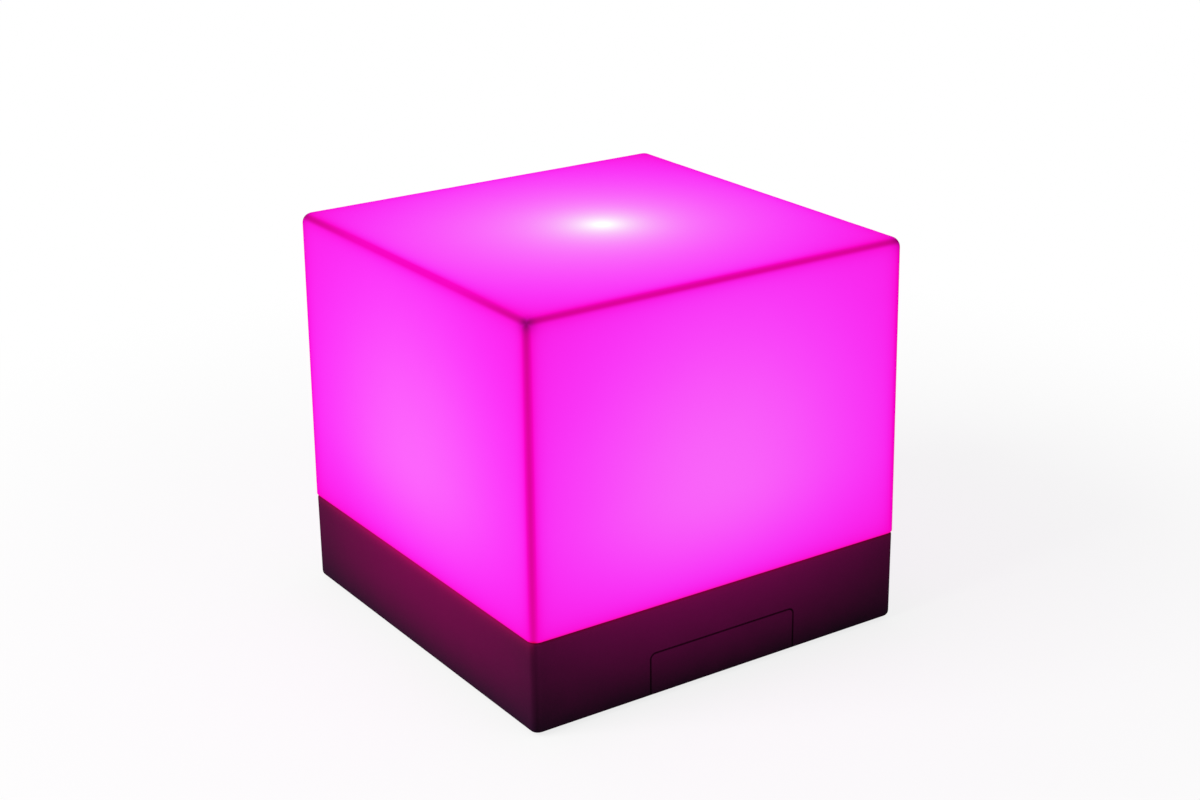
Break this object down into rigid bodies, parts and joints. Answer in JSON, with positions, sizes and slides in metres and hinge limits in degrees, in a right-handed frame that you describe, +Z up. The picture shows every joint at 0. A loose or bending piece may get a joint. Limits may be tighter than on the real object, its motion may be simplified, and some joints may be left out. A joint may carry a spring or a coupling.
{
  "type": "led cube light",
  "caption": "Battery-lit cube light: an opal shade that presses down to switch, on a low dark base with a flush battery door.",
  "frame": {"origin": "middle of the plane that the rubber feet stand on", "axes": "+Z up through the shade's top face, -Y out of the face with the battery door"},
  "size_m": [0.15, 0.15, 0.14],
  "materials": {
    "opal_shade": "satin",
    "dark_housing": "satin",
    "white_plastic": "satin",
    "black_plastic": "matte",
    "zinc_steel": "satin",
    "spring_steel": "satin",
    "nickel_plate": "satin",
    "foot_rubber": "matte",
    "cell_jacket": "satin",
    "board_green": "satin",
    "board_white": "satin",
    "lamp_white": "gloss",
    "chip_black": "matte",
    "capacitor_sleeve": "satin",
    "resistor_ceramic": "satin",
    "lead_red": "satin",
    "lead_black": "satin",
    "lead_white": "satin"
  },
  "bodies": {
    "base": {"return_springs": "spring_steel", "base_housing": "dark_housing", "reflector_deck": "white_plastic", "deck_screws": "zinc_steel", "rubber_feet": "foot_rubber", "battery_box": "black_plastic", "battery_box_screws": "zinc_steel", "battery_cells": "cell_jacket", "contact_plate_positive": "nickel_plate", "contact_plate_negative": "nickel_plate", "contact_bridge_front": "nickel_plate", "contact_bridge_rear": "nickel_plate", "contact_springs": "nickel_plate", "led_board": "board_white", "led_emitters": "lamp_white", "led_board_screws": "zinc_steel", "control_board": "board_green", "control_board_screws": "zinc_steel", "controller_chip": "chip_black", "drive_transistors": "chip_black", "chip_resistors": "resistor_ceramic", "smoothing_capacitor": "capacitor_sleeve", "tact_switch_body": "black_plastic", "power_switch_body": "black_plastic", "power_switch_screws": "zinc_steel", "battery_lead_positive": "lead_red", "battery_lead_negative": "lead_black", "switch_lead": "lead_red", "lamp_leads": "lead_white"},
    "shade": {"diffuser_shade": "opal_shade", "shade_carrier": "white_plastic", "carrier_washers": "zinc_steel", "carrier_screws": "zinc_steel"},
    "door": {"battery_door": "dark_housing"},
    "click_plunger": {"tact_switch_plunger": "black_plastic"},
    "power_slider": {"power_switch_slider": "black_plastic"}
  },
  "joints": [
    {"name": "shade_press", "type": "slide", "parent": "base", "child": "shade", "axis": [0, 0, -1], "range_m": [0, 0.00035], "stiffness_N_per_m": 1600, "springref_m": -0.005, "deforming": ["return_springs"]},
    {"name": "click", "type": "slide", "parent": "base", "child": "click_plunger", "axis": [0, 0, -1], "range_m": [0, 0.00035]},
    {"name": "door_slide", "type": "slide", "parent": "base", "child": "door", "axis": [0, -1, 0], "range_m": [0, 0.066]},
    {"name": "power_slide", "type": "slide", "parent": "base", "child": "power_slider", "axis": [1, 0, 0], "range_m": [0, 0.003]}
  ],
  "couplings": [
    {"joint": "click", "follows": "shade_press", "ratio": 1}
  ]
}
